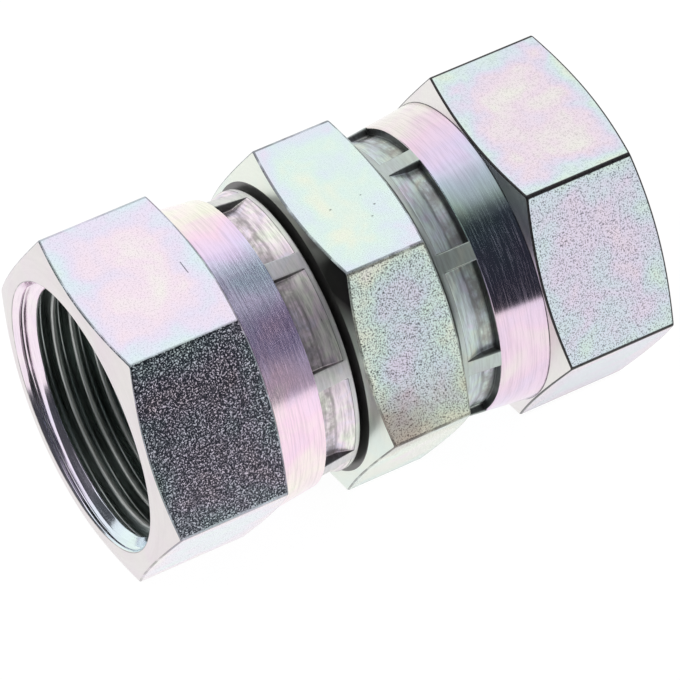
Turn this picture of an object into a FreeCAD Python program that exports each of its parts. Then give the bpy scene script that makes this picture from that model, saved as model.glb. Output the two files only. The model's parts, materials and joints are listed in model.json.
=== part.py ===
import FreeCAD, Part
import os
import Sketcher

# Hydraulic nipple with a loose union nut crimped on at each end.
# Millimetres and degrees. X runs along the fitting, Z points up, and the three hexagons lie on a flat.
# Depths in a nut are counted from its open face, reaches on the nipple from its middle plane.
# The thread drives the rest: walls and steps are added from it out to the flats and in to the bore.
SIZES = {
    # Outwards from the crests of the nut's thread
    "thread_bore": 30.292,
    "flat_wall": 3.854,
    "chamfer_inset": 0.95,
    "collar_step": 0.25,
    "collar_taper": 1.25,
    "mouth_widening": 1.654,
    # Inwards from the nipple's head
    "head_over": 0.204,
    "head_step": 1.35,
    "nose_rise": 2,
    "nose_wall": 2,
    # Lengths along the fitting
    "nipple_hex_width": 12.5,
    "nut_hex_length": 16.35,
    "collar_root": 0.6,
    "collar_length": 5.85,
    "chamber_length": 10.2,
    "mark_length": 4.1,
    "mark_level": 1.9,
    "rim_width": 0.7,
    # Slopes
    "chamfer_slope": 18,
    "mouth_slope": 35,
    "shoulder_slope": 45,
    "nose_half_angle": 30,
    # The ring of crimp marks
    "mark_count": 8,
    "land_angle": 7.5,
    "mark_depth": 1.15,
    "left_mark_turn": 38.4,
    "right_mark_turn": 29.3,
    # Clearances between the nuts and the nipple
    "head_clearance": 0.25,
    "nose_room": 1.1,
    "lip_clearance": 0.4,
    "crimp_play": 0.3,
    "left_gap": 0.8,
    "right_gap": 0.4,
    # How far a cut reaches past what it cuts
    "overcut": 1,
}

# Depths in a nut
COLLAR_START = "(sizes.nut_hex_length - sizes.collar_root)"
MARK_START = "(sizes.nut_hex_length + sizes.collar_length)"
CHAMBER_START = f"({MARK_START} - sizes.chamber_length)"
LEVEL_END = f"({MARK_START} + sizes.mark_level)"
RIM_DEPTH = f"({MARK_START} + sizes.mark_length)"
NUT_LENGTH = f"({RIM_DEPTH} + sizes.rim_width)"

# Radii from the thread outwards
THREAD_RADIUS = "(sizes.thread_bore / 2)"
FLAT_RADIUS = f"({THREAD_RADIUS} + sizes.flat_wall)"
CORNER_RADIUS = f"({FLAT_RADIUS} * 2 / sqrt(3))"
CHAMFER_RADIUS = f"({FLAT_RADIUS} - sizes.chamfer_inset)"
COLLAR_RADIUS = f"({FLAT_RADIUS} - sizes.collar_step)"
RIM_RADIUS = f"({COLLAR_RADIUS} - sizes.collar_taper)"
MOUTH_RADIUS = f"({THREAD_RADIUS} + sizes.mouth_widening)"
PAST_COLLAR = f"({COLLAR_RADIUS} + sizes.overcut)"
PAST_CORNER = f"({CORNER_RADIUS} + sizes.overcut)"


def collar_radius(depth):
    """The radius of the collar's cone at a depth."""
    share = f"({depth} - {COLLAR_START}) / ({NUT_LENGTH} - {COLLAR_START})"
    return f"({COLLAR_RADIUS} - sizes.collar_taper * {share})"


# Radii from the head inwards, and those of the chamber, marks, lips and neck
HEAD_RADIUS = f"({THREAD_RADIUS} + sizes.head_over)"
NOSE_ROOT_RADIUS = f"({HEAD_RADIUS} - sizes.head_step)"
NOSE_TIP_RADIUS = f"({NOSE_ROOT_RADIUS} - sizes.nose_rise)"
BORE_RADIUS = f"({NOSE_TIP_RADIUS} - sizes.nose_wall)"
CHAMBER_RADIUS = f"({HEAD_RADIUS} + sizes.head_clearance)"
MARK_FLOOR = f"({collar_radius(MARK_START)} - sizes.mark_depth)"
LIP_RADIUS = f"({CHAMBER_RADIUS} - sizes.mark_depth)"
LIP_ROOT_RADIUS = f"(({MARK_FLOOR} + {CHAMBER_RADIUS}) / 2)"
NECK_RADIUS = f"({LIP_RADIUS} - sizes.lip_clearance)"

# Reaches on the nipple
HEX_FACE = "(sizes.nipple_hex_width / 2)"
MARK_REACH = f"({HEX_FACE} + sizes.rim_width + sizes.mark_length)"
LIP_REACH = f"({MARK_REACH} + max(sizes.left_gap; sizes.right_gap))"
SHOULDER_FOOT = f"({LIP_REACH} + sizes.crimp_play - sizes.lip_clearance / tan(sizes.shoulder_slope))"
SHOULDER_TOP = f"({SHOULDER_FOOT} + ({HEAD_RADIUS} - {NECK_RADIUS}) / tan(sizes.shoulder_slope))"
CHAMBER_REACH = f"({MARK_REACH} + min(sizes.left_gap; sizes.right_gap) + sizes.chamber_length)"
NOSE_FRONT = f"({CHAMBER_REACH} - sizes.nose_room)"
HEAD_FRONT = f"({NOSE_FRONT} - sizes.nose_rise / tan(sizes.nose_half_angle))"

# Where the pieces stand in the whole fitting's frame
FRAME_SHIFT = "(sizes.left_gap - sizes.right_gap) / 2"


def make_sizes(doc):
    """Puts every driving size in a cell of its own."""
    sheet = doc.addObject("Spreadsheet::Sheet", "sizes")
    for row, (name, value) in enumerate(SIZES.items(), start=1):
        sheet.set(f"A{row}", name)
        sheet.set(f"B{row}", str(value))
        sheet.setAlias(f"B{row}", name)
    doc.recompute()
    return sheet


def origin_part(body, role):
    """One of the body's own base planes or axes."""
    for feature in body.Origin.OriginFeatures:
        if feature.Role == role:
            return feature
    raise ValueError(f"{body.Label} has no {role}")


def start_sketch(body, name, plane):
    """An empty sketch on one of the body's base planes."""
    sketch = body.newObject("Sketcher::SketchObject", name)
    sketch.AttachmentSupport = (origin_part(body, plane), [""])
    sketch.MapMode = "FlatFace"
    return sketch


def hold_distance(sketch, kind, line, formula, value):
    """Ties the start of a line to a formula, counted from the sketch's zero."""
    if formula == "0":
        axis = -2 if kind == "DistanceX" else -1
        sketch.addConstraint(Sketcher.Constraint("PointOnObject", line, 1, axis))
        return
    index = sketch.addConstraint(Sketcher.Constraint(kind, -1, 1, line, 1, value))
    sketch.setExpression(f"Constraints[{index}]", formula)


def outline_sketch(body, name, corners, turn=None):
    """A closed outline beside the axis: each corner is its place along the axis and its radius."""
    sketch = start_sketch(body, name, "XY_Plane")
    if turn is not None:
        sketch.AttachmentOffset = FreeCAD.Placement(
            FreeCAD.Vector(0, 0, 0), FreeCAD.Rotation(FreeCAD.Vector(1, 0, 0), 1)
        )
        sketch.setExpression("AttachmentOffset.Rotation.Angle", turn)
    places = []
    for along, radius in corners:
        x = float(sketch.evalExpression(along))
        y = float(sketch.evalExpression(radius))
        places.append(FreeCAD.Vector(x, y, 0))
    count = len(places)
    for i in range(count):
        sketch.addGeometry(Part.LineSegment(places[i], places[(i + 1) % count]))
    for i in range(count):
        sketch.addConstraint(Sketcher.Constraint("Coincident", i, 2, (i + 1) % count, 1))
    for i, (along, radius) in enumerate(corners):
        hold_distance(sketch, "DistanceX", i, along, places[i].x)
        hold_distance(sketch, "DistanceY", i, radius, places[i].y)
    return sketch


def hexagon_sketch(body, name):
    """A hexagon round the axis with a flat at the top and one at the bottom."""
    sketch = start_sketch(body, name, "YZ_Plane")
    corner = float(sketch.evalExpression(CORNER_RADIUS))
    spoke = FreeCAD.Vector(corner, 0, 0)
    corners = []
    for i in range(6):
        turn = FreeCAD.Rotation(FreeCAD.Vector(0, 0, 1), 60 * (i + 1))
        corners.append(turn.multVec(spoke))
    for i in range(6):
        sketch.addGeometry(Part.LineSegment(corners[i], corners[(i + 1) % 6]))
    circle = sketch.addGeometry(
        Part.Circle(FreeCAD.Vector(0, 0, 0), FreeCAD.Vector(0, 0, 1), corner), True
    )
    sketch.addConstraint(Sketcher.Constraint("Coincident", circle, 3, -1, 1))
    for i in range(6):
        sketch.addConstraint(Sketcher.Constraint("Coincident", i, 2, (i + 1) % 6, 1))
        sketch.addConstraint(Sketcher.Constraint("PointOnObject", i, 1, circle))
    for i in range(5):
        sketch.addConstraint(Sketcher.Constraint("Equal", i, i + 1))
    sketch.addConstraint(Sketcher.Constraint("Horizontal", 0))
    flat = sketch.addConstraint(Sketcher.Constraint("Distance", -1, 1, 0, corners[0].y))
    sketch.setExpression(f"Constraints[{flat}]", FLAT_RADIUS)
    return sketch


def turn_feature(body, kind, name, sketch, angle=None):
    """Turns an outline round the axis, all the way or by an angle to both sides."""
    feature = body.newObject(kind, name)
    feature.Profile = sketch
    feature.ReferenceAxis = (sketch, ["H_Axis"])
    feature.Angle = 360
    if angle is not None:
        feature.Midplane = True
        feature.setExpression("Angle", angle)
    return feature


def add_turned(body, name, corners, turn=None, angle=None):
    """A turned solid."""
    sketch = outline_sketch(body, name + "_outline", corners, turn)
    return turn_feature(body, "PartDesign::Revolution", name, sketch, angle)


def cut_turned(body, name, corners, turn=None, angle=None):
    """A turned cut."""
    sketch = outline_sketch(body, name + "_outline", corners, turn)
    return turn_feature(body, "PartDesign::Groove", name, sketch, angle)


def chamfer_corners(face, way):
    """The triangle that takes the corners off one end of a hexagon; way is where the hexagon lies."""
    fall = f"({PAST_CORNER} - {CHAMFER_RADIUS}) * tan(sizes.chamfer_slope)"
    return [
        (face, CHAMFER_RADIUS),
        (face, PAST_CORNER),
        (f"{face} {way} {fall}", PAST_CORNER),
    ]


def make_nipple(doc):
    """The nipple: a hexagon with a neck, a head and a cone nose at each end, bored right through."""
    body = doc.addObject("PartDesign::Body", "nipple_body")
    body.Label = "nipple_body"

    hexagon = body.newObject("PartDesign::Pad", "middle_hexagon")
    hexagon.Profile = hexagon_sketch(body, "middle_hexagon_outline")
    hexagon.Midplane = True
    hexagon.setExpression("Length", "sizes.nipple_hex_width")

    chamfer = cut_turned(body, "hexagon_chamfer", chamfer_corners(HEX_FACE, "-"))
    end = add_turned(body, "neck_head_and_nose", [
        ("0", "0"),
        ("0", NECK_RADIUS),
        (SHOULDER_FOOT, NECK_RADIUS),
        (SHOULDER_TOP, HEAD_RADIUS),
        (HEAD_FRONT, HEAD_RADIUS),
        (HEAD_FRONT, NOSE_ROOT_RADIUS),
        (NOSE_FRONT, NOSE_TIP_RADIUS),
        (NOSE_FRONT, "0"),
    ])
    bore = cut_turned(body, "flow_bore_cut", [
        ("0", "0"),
        ("0", BORE_RADIUS),
        (NOSE_FRONT, BORE_RADIUS),
        (NOSE_FRONT, "0"),
    ])
    other_end = body.newObject("PartDesign::Mirrored", "other_end")
    other_end.Originals = [chamfer, end, bore]
    other_end.MirrorPlane = (origin_part(body, "YZ_Plane"), [""])
    body.Tip = other_end

    body.setExpression("Placement.Base.x", FRAME_SHIFT)
    body.setExpression("Placement.Base.z", FLAT_RADIUS)
    return body


def make_nut(doc, name, mark_turn):
    """A union nut, built with its open face at zero and its crimped skirt towards +X."""
    body = doc.addObject("PartDesign::Body", name)
    body.Label = name

    hexagon = body.newObject("PartDesign::Pad", "hexagon")
    hexagon.Profile = hexagon_sketch(body, "hexagon_outline")
    hexagon.setExpression("Length", "sizes.nut_hex_length")
    cut_turned(body, "open_face_chamfer", chamfer_corners("0", "+"))
    cut_turned(body, "collar_side_chamfer", chamfer_corners("sizes.nut_hex_length", "-"))

    add_turned(body, "collar", [
        (COLLAR_START, "0"),
        (COLLAR_START, COLLAR_RADIUS),
        (NUT_LENGTH, RIM_RADIUS),
        (NUT_LENGTH, "0"),
    ])

    cut_turned(body, "bore_cut", [
        ("0", "0"),
        ("0", MOUTH_RADIUS),
        ("sizes.mouth_widening / tan(sizes.mouth_slope)", THREAD_RADIUS),
        (CHAMBER_START, THREAD_RADIUS),
        (CHAMBER_START, CHAMBER_RADIUS),
        (NUT_LENGTH, CHAMBER_RADIUS),
        (NUT_LENGTH, "0"),
    ])

    mark_angle = "360 / sizes.mark_count - sizes.land_angle"
    ramp_rise = f"({collar_radius(RIM_DEPTH)} - {MARK_FLOOR})"
    ramp_end = f"{LEVEL_END} + ({RIM_DEPTH} - {LEVEL_END}) * ({PAST_COLLAR} - {MARK_FLOOR}) / {ramp_rise}"
    mark = cut_turned(body, "crimp_mark", [
        (MARK_START, MARK_FLOOR),
        (LEVEL_END, MARK_FLOOR),
        (ramp_end, PAST_COLLAR),
        (MARK_START, PAST_COLLAR),
    ], mark_turn, mark_angle)
    lip = add_turned(body, "crimp_lip", [
        (MARK_START, LIP_ROOT_RADIUS),
        (MARK_START, LIP_RADIUS),
        (LEVEL_END, LIP_ROOT_RADIUS),
    ], mark_turn, mark_angle)
    ring = body.newObject("PartDesign::PolarPattern", "ring_of_marks")
    ring.Originals = [mark, lip]
    ring.Axis = (origin_part(body, "X_Axis"), [""])
    ring.Angle = 360
    ring.setExpression("Occurrences", "sizes.mark_count")
    body.Tip = ring
    return body


def place_nut(nut, gap, side):
    """Sets a nut on its end of the nipple, a gap away from the middle hexagon; side is - or +."""
    if side == "+":
        nut.Placement.Rotation = FreeCAD.Rotation(FreeCAD.Vector(0, 0, 1), 180)
    open_face = f"{side}({HEX_FACE} + {gap} + {NUT_LENGTH})"
    nut.setExpression("Placement.Base.x", f"{open_face} + {FRAME_SHIFT}")
    nut.setExpression("Placement.Base.z", FLAT_RADIUS)


def check_document(doc, bodies):
    """Stops if any feature failed or any piece isn't one valid solid."""
    for item in doc.Objects:
        if "Invalid" in item.State or "Error" in item.State:
            raise RuntimeError(f"{item.Name} failed: {item.State}")
    for body in bodies:
        shape = body.Shape
        if shape.isNull() or not shape.isValid() or len(shape.Solids) != 1:
            raise RuntimeError(f"{body.Label} isn't one valid solid")


doc = FreeCAD.newDocument("double_swivel_nipple")
make_sizes(doc)
nipple = make_nipple(doc)
left_nut = make_nut(doc, "left_swivel_nut", "sizes.left_mark_turn")
right_nut = make_nut(doc, "right_swivel_nut", "sizes.right_mark_turn")
place_nut(left_nut, "sizes.left_gap", "-")
place_nut(right_nut, "sizes.right_gap", "+")
doc.recompute()

pieces = [nipple, left_nut, right_nut]
check_document(doc, pieces)
os.makedirs("parts", exist_ok=True)
for piece in pieces:
    piece.Shape.exportStep(f"parts/{piece.Label}.step")
    box = piece.Shape.optimalBoundingBox()
    print(
        f"{piece.Label}: volume {piece.Shape.Volume:.1f}, x {box.XMin:.2f} to {box.XMax:.2f},"
        f" z {box.ZMin:.2f} to {box.ZMax:.2f}"
    )
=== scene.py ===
import json
import math

import bpy
import numpy as np
from mathutils import Matrix, Quaternion, Vector


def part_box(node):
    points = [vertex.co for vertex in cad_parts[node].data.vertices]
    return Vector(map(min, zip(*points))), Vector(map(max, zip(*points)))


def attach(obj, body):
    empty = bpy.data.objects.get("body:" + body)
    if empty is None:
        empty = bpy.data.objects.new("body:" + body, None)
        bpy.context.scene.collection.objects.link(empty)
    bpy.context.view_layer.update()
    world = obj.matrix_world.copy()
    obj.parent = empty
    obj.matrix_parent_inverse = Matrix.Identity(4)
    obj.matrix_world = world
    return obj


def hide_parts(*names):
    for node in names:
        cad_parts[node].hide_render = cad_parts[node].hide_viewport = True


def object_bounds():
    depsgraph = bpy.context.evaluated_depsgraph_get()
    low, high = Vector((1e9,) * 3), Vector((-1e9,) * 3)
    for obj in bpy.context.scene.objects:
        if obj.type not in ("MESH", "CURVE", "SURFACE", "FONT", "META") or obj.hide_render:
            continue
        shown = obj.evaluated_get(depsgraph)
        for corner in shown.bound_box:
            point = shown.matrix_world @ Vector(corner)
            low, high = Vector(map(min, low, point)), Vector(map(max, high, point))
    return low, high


# A hydraulic nipple with a hexagon in its middle and a union nut crimped on at each end, free to turn.
# All three pieces are steel with bright zinc and a pale rainbow passivation. X runs along the fitting.
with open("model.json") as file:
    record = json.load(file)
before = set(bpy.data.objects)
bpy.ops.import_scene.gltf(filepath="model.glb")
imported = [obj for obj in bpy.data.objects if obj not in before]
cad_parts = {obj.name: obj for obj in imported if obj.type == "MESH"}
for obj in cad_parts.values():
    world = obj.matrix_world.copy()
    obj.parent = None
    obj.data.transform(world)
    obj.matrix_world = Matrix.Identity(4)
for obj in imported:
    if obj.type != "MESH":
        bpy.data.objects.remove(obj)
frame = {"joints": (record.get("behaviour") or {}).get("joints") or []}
cad_low, cad_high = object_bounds()
axis_height = frame["joints"][0]["pos_m"][2]

# The set: the fitting lies on a white table in a white tent, and the lens looks down at it from the left.
# Dark cards are seen only in the steel, which takes its dark bands and edge lines from them.
scene = bpy.context.scene
scene.view_settings.view_transform = "Standard"

AIM_POINT = Vector((-0.00217, -0.00458, axis_height))
LENS_DISTANCE = 0.68287
LENS_AZIMUTH = math.radians(-29.51)
LENS_ELEVATION = math.radians(48.64)
LENS_ROLL = math.radians(-0.29)
FOCAL_LENGTH = 312.07
SENSOR_WIDTH = 36
FLOOR_REACH = 3.0
FLOOR_COLOR = (0.95, 0.95, 0.95, 1)
FLOOR_GLOW = 1.06
SHADOW_SHARE = 0.1
TENT_LIGHT = 0.85
LAMP_PLACES = [(-0.5, 0.5, 1.1), (0.7, 0.2, 1.0)]
LAMP_SIDE = 0.9
LAMP_POWER = 0.5
CARD_STEPS = 60

towards_lens = Vector((
    math.sin(LENS_AZIMUTH) * math.cos(LENS_ELEVATION),
    -math.cos(LENS_AZIMUTH) * math.cos(LENS_ELEVATION),
    math.sin(LENS_ELEVATION),
))


def show(name, data):
    """An object for some data, linked to the scene."""
    made = bpy.data.objects.new(name, data)
    scene.collection.objects.link(made)
    return made


def node(tree, kind, inputs=(), **settings):
    """Adds a node: its settings, then each input as a plain value or as the output that feeds it."""
    made = tree.nodes.new(kind)
    for name, value in settings.items():
        setattr(made, name, value)
    for key, value in dict(inputs).items():
        value = getattr(value, "socket", value)
        if isinstance(value, bpy.types.NodeSocket):
            tree.links.new(value, made.inputs[key])
        else:
            made.inputs[key].default_value = value
    return made


class Term:
    """A number that a node tree works out. Arithmetic on terms adds the Math nodes for it."""

    def __init__(self, tree, socket):
        self.tree = tree
        self.socket = socket

    def math(self, operation, *others):
        values = dict(enumerate([self, *others]))
        return Term(self.tree, node(self.tree, "ShaderNodeMath", values, operation=operation).outputs[0])

    def __add__(self, other):
        return self.math("ADD", other)

    def __sub__(self, other):
        return self.math("SUBTRACT", other)

    def __mul__(self, other):
        return self.math("MULTIPLY", other)

    def __truediv__(self, other):
        return self.math("DIVIDE", other)

    def turned_round(self):
        """One minus the term."""
        return (self * -1) + 1

    def between(self, low, high):
        """The term held between two limits."""
        return self.math("MAXIMUM", low).math("MINIMUM", high)

    def ramp(self, start, end):
        """Nought before start, one after end, and an even slope between them."""
        return ((self - start) / (end - start)).between(0, 1)


camera_data = bpy.data.cameras.new("lens")
camera_data.lens = FOCAL_LENGTH
camera_data.sensor_width = SENSOR_WIDTH
camera = show("camera", camera_data)
camera.location = AIM_POINT + towards_lens * LENS_DISTANCE
camera.rotation_mode = "QUATERNION"
level_turn = (-towards_lens).to_track_quat("-Z", "Y")
camera.rotation_quaternion = level_turn @ Quaternion((0, 0, 1), LENS_ROLL)
scene.camera = camera


def plain_ray(tree):
    """One for rays that show the background itself: straight from the lens, or off or through the object."""
    light_path = node(tree, "ShaderNodeLightPath")
    seen = Term(tree, light_path.outputs["Is Camera Ray"])
    seen = seen.math("MAXIMUM", light_path.outputs["Is Glossy Ray"])
    return seen.math("MAXIMUM", light_path.outputs["Is Transmission Ray"])


world = bpy.data.worlds.new("white_tent")
scene.world = world
world.use_nodes = True
world.node_tree.nodes.clear()
strength = plain_ray(world.node_tree) * (1 - TENT_LIGHT) + TENT_LIGHT
sky = node(world.node_tree, "ShaderNodeBackground", {"Color": (1, 1, 1, 1), "Strength": strength})
node(world.node_tree, "ShaderNodeOutputWorld", {"Surface": sky.outputs[0]})


def start_material(name):
    """An empty node material, and its tree."""
    material = bpy.data.materials.new(name)
    material.use_nodes = True
    material.node_tree.nodes.clear()
    return material, material.node_tree


table_top, tree = start_material("white_table")
matt = node(tree, "ShaderNodeBsdfDiffuse", {"Color": FLOOR_COLOR})
plain = node(tree, "ShaderNodeEmission", {"Color": (1, 1, 1, 1), "Strength": FLOOR_GLOW})
mix = node(tree, "ShaderNodeMixShader", {
    0: plain_ray(tree) * (1 - SHADOW_SHARE),
    1: matt.outputs[0],
    2: plain.outputs[0],
})
node(tree, "ShaderNodeOutputMaterial", {"Surface": mix.outputs[0]})

floor_mesh = bpy.data.meshes.new("table")
floor_mesh.from_pydata(
    [(x * FLOOR_REACH, y * FLOOR_REACH, cad_low.z) for x, y in ((-1, -1), (1, -1), (1, 1), (-1, 1))],
    [],
    [(0, 1, 2, 3)],
)
floor_mesh.materials.append(table_top)
show("table", floor_mesh)

for number, place in enumerate(LAMP_PLACES):
    lamp_data = bpy.data.lights.new(f"soft_lamp_{number}", "AREA")
    lamp_data.size = LAMP_SIDE
    lamp_data.energy = LAMP_POWER
    lamp = show(lamp_data.name, lamp_data)
    lamp.location = place
    lamp.rotation_mode = "QUATERNION"
    lamp.rotation_quaternion = (Vector((0, 0, axis_height)) - Vector(place)).to_track_quat("-Z", "Y")


def dark_card(name, radius, stops, reach, turn, color):
    """A card bent round the fitting's axis and turned about Z, seen only in shiny surfaces.

    Stops gives how much it covers at some of its angles, which go from +Y to +Z.
    """
    angles, shares = zip(*stops)
    points = []
    cover = []
    for angle in np.linspace(angles[0], angles[-1], CARD_STEPS + 1):
        turned = math.radians(angle)
        for x in reach:
            points.append((x, radius * math.cos(turned), axis_height + radius * math.sin(turned)))
            cover.append(np.interp(angle, angles, shares))
    faces = [(2 * i, 2 * i + 1, 2 * i + 3, 2 * i + 2) for i in range(CARD_STEPS)]
    mesh = bpy.data.meshes.new(name)
    mesh.from_pydata(points, [], faces)
    mesh.transform(Matrix.Rotation(math.radians(turn), 4, "Z"))
    mesh.attributes.new("cover", "FLOAT", "POINT").data.foreach_set("value", cover)
    material, tree = start_material(name)
    glow = node(tree, "ShaderNodeEmission", {"Color": color, "Strength": 1.0})
    clear = node(tree, "ShaderNodeBsdfTransparent")
    share = node(tree, "ShaderNodeAttribute", attribute_name="cover")
    mix = node(tree, "ShaderNodeMixShader", {
        0: share.outputs["Fac"],
        1: clear.outputs[0],
        2: glow.outputs[0],
    })
    node(tree, "ShaderNodeOutputMaterial", {"Surface": mix.outputs[0]})
    mesh.materials.append(material)
    card = show(name, mesh)
    card.visible_camera = False
    card.visible_diffuse = False
    card.visible_transmission = False
    card.visible_shadow = False


FRONT_STOPS = [(61, 0), (74, 0.3), (94, 0.55), (105, 0.92), (113, 1), (177, 1), (179, 0)]
RIGHT_STOPS = [
    (50, 0), (60, 0.6), (68, 0.8), (79, 1), (98, 0.8), (119, 1), (140, 1), (153, 0.8), (176, 0.75), (179, 0),
]
LEFT_STOPS = [(133, 0), (138, 0.95), (174, 1), (177, 0)]
dark_card(
    "dark_card_front", radius=0.5, stops=FRONT_STOPS, reach=(-0.5, 0.22), turn=0,
    color=(0.03, 0.035, 0.042, 1),
)
dark_card(
    "grey_card_right", radius=0.5, stops=RIGHT_STOPS, reach=(0.24, 0.9), turn=0,
    color=(0.08, 0.07, 0.12, 1),
)
dark_card(
    "dark_card_left", radius=0.55, stops=LEFT_STOPS, reach=(-0.9, 0.9), turn=-90,
    color=(0.04, 0.045, 0.05, 1),
)

# The nipple: turned from steel hexagon bar, with a neck, a head and a cone nose at each end, and a flow bore
# right through. The middle hexagon's flats are the bar's own drawn skin, and all of it is zinc plated.
# Sizes are in millimetres from the middle of the piece.
MM = 0.001
HALF_FLAT = math.pi / 6
FLAT_RADIUS = 19.0
CORNER_RADIUS = FLAT_RADIUS / math.cos(HALF_FLAT)
CHAMFER_RADIUS = 18.05
CHAMFER_RISE = math.tan(math.radians(18))
EDGE_ROUNDING = 0.25
HEX_CORNER_ROUNDING = 0.42
NIPPLE_HEX_REACH = 6.25
NECK_RADIUS = 14.05
SHOULDER_FOOT = 11.75
SHOULDER_TOP = 13.05
HEAD_RADIUS = 15.35
HEAD_FRONT = 17.086
NOSE_ROOT_RADIUS = 14.0
NOSE_TIP_RADIUS = 12.0
NOSE_FRONT = 20.55
BORE_RADIUS = 10.0
ARC_SHARES = (0, 1 / 3, 2 / 3, 1)
HOLD = 0.03
COLUMN_STEP = 2.0
CORNER_SPREAD = 1.6
CORNER_SHARES = (-CORNER_SPREAD, -1, -0.5, 0.5, 1, CORNER_SPREAD)
TURNED = 0
FACED = 1
INNER = 2
MOUTH = 3


class Row:
    """One ring of a turned shell: its place, the finish of the band after it, and what cuts may do to it."""

    def __init__(self, along, radius, finish=TURNED, flat=0.0, slide=0.0, bore=0.0, edge=0.0, skin=0.0):
        self.along = along
        self.radius = radius
        self.finish = finish
        self.flat = flat
        self.slide = slide
        self.bore = bore
        self.edge = edge
        self.skin = skin


def rounded_outline(corners):
    """The rows of a closed outline, whose corners come as a row and its rounding.

    A rounded corner becomes a short arc, held by a row close to each end of it.
    """
    rows = []
    places = [Vector((row.along, row.radius)) for row, rounding in corners]
    for i, (row, rounding) in enumerate(corners):
        if rounding == 0:
            rows.append(row)
            continue
        here = places[i]
        before = places[i - 1] - here
        after = places[(i + 1) % len(places)] - here
        half = before.angle(after) / 2
        before.normalize()
        after.normalize()
        centre = here + (before + after).normalized() * rounding / math.sin(half)
        first = here + before * (rounding / math.tan(half))
        last = here + after * (rounding / math.tan(half))
        arc = []
        for share in ARC_SHARES:
            spoke = (first.lerp(last, share) - centre).normalized()
            arc.append(centre + spoke * rounding)
        hold_first = first + before * HOLD
        hold_last = last + after * HOLD
        for point, edge in zip([hold_first, *arc, hold_last], (0, 1, 1, 1, 1, 0)):
            skin = row.flat if edge or abs(point.y - row.radius) < 1e-6 else 0.0
            rows.append(Row(
                point.x, point.y, row.finish, row.flat, row.slide, row.bore, edge * row.edge, skin,
            ))
    return rows


def hexagon_edge(face, way):
    """Where a hexagon's chamfer meets its corners. Way is 1 or -1, from the face into the hexagon."""
    along = face + way * (CORNER_RADIUS - CHAMFER_RADIUS) * CHAMFER_RISE
    return Row(along, CORNER_RADIUS, FACED, flat=1, slide=-way, edge=1), EDGE_ROUNDING


def column_angles(extra=()):
    """The angles of a shell's columns: an even ring, close ones at the hexagon's corners, and any others."""
    centre = (FLAT_RADIUS - HEX_CORNER_ROUNDING) / math.cos(HALF_FLAT)
    arc_foot = centre + HEX_CORNER_ROUNDING * math.cos(HALF_FLAT)
    arc_end = math.degrees(math.atan2(HEX_CORNER_ROUNDING / 2, arc_foot))
    angles = [i * COLUMN_STEP for i in range(round(360 / COLUMN_STEP))]
    for corner in range(0, 360, 60):
        angles += [corner + share * arc_end for share in CORNER_SHARES]
    return sorted({round(angle % 360, 4) for angle in [*angles, *extra]})


def turned_shell(name, rows, angles, finishes):
    """A closed shell turned round the X axis, with a value on each point for what later cuts may do there.

    Its faces point outwards, whichever way round the outline runs.
    """
    turn = np.radians(np.array(angles))
    along = np.array([row.along for row in rows])
    radius = np.array([row.radius for row in rows])
    points = np.empty((len(angles), len(rows), 3))
    points[:, :, 0] = along
    points[:, :, 1] = np.outer(np.cos(turn), radius)
    points[:, :, 2] = np.outer(np.sin(turn), radius)
    column = np.arange(len(angles))[:, None] * len(rows)
    next_column = np.roll(column, -1, axis=0)
    row = np.arange(len(rows))[None, :]
    next_row = np.roll(row, -1, axis=1)
    faces = np.stack([column + row, column + next_row, next_column + next_row, next_column + row], axis=2)
    outline_area = np.sum(along * np.roll(radius, -1) - np.roll(along, -1) * radius)
    if outline_area < 0:
        faces = faces[:, :, ::-1]
    mesh = bpy.data.meshes.new(name)
    mesh.from_pydata(points.reshape(-1, 3).tolist(), [], faces.reshape(-1, 4).tolist())
    for finish in finishes:
        mesh.materials.append(finish)
    mesh.polygons.foreach_set("material_index", np.tile([row.finish for row in rows], len(angles)))
    for label in ("flat", "slide", "bore", "edge", "skin"):
        values = np.tile(np.array([getattr(row, label) for row in rows], np.float32), len(angles))
        mesh.attributes.new(label, "FLOAT", "POINT").data.foreach_set("value", values)
    return mesh


def start_tree(name, kind, inputs, outputs):
    """An empty node group with named sockets. Returns it with its inputs and its outputs."""
    tree = bpy.data.node_groups.new(name, kind)
    for title, (socket_type, value) in inputs.items():
        socket = tree.interface.new_socket(title, in_out="INPUT", socket_type=socket_type)
        if value is not None:
            socket.default_value = value
    for title, socket_type in outputs.items():
        tree.interface.new_socket(title, in_out="OUTPUT", socket_type=socket_type)
    entry = tree.nodes.new("NodeGroupInput").outputs
    leave = tree.nodes.new("NodeGroupOutput").inputs
    return tree, entry, leave


def named_value(tree, name):
    """The value that a mesh holds under a name."""
    made = node(tree, "GeometryNodeInputNamedAttribute", {"Name": name}, data_type="FLOAT")
    return Term(tree, made.outputs["Attribute"])


def three_parts(tree, vector):
    """A place along the fitting, across it and up."""
    return [Term(tree, part) for part in node(tree, "ShaderNodeSeparateXYZ", {0: vector}).outputs]


def round_the_axis(tree):
    """Where a point is: its place along the axis, its radius, its angle, and its two places across."""
    along, across, up = three_parts(tree, node(tree, "GeometryNodeInputPosition").outputs[0])
    radius = (across * across + up * up).math("SQRT")
    return along, radius, up.math("ARCTAN2", across), across, up


def set_radius(tree, geometry, along, across, up, growth):
    """Moves every point to its new place along the axis, and its radius to growth times what it was."""
    place = node(tree, "ShaderNodeCombineXYZ", {0: along, 1: across * growth, 2: up * growth})
    moved = node(tree, "GeometryNodeSetPosition", {"Geometry": geometry, "Position": place.outputs[0]})
    return moved.outputs[0]


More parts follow.
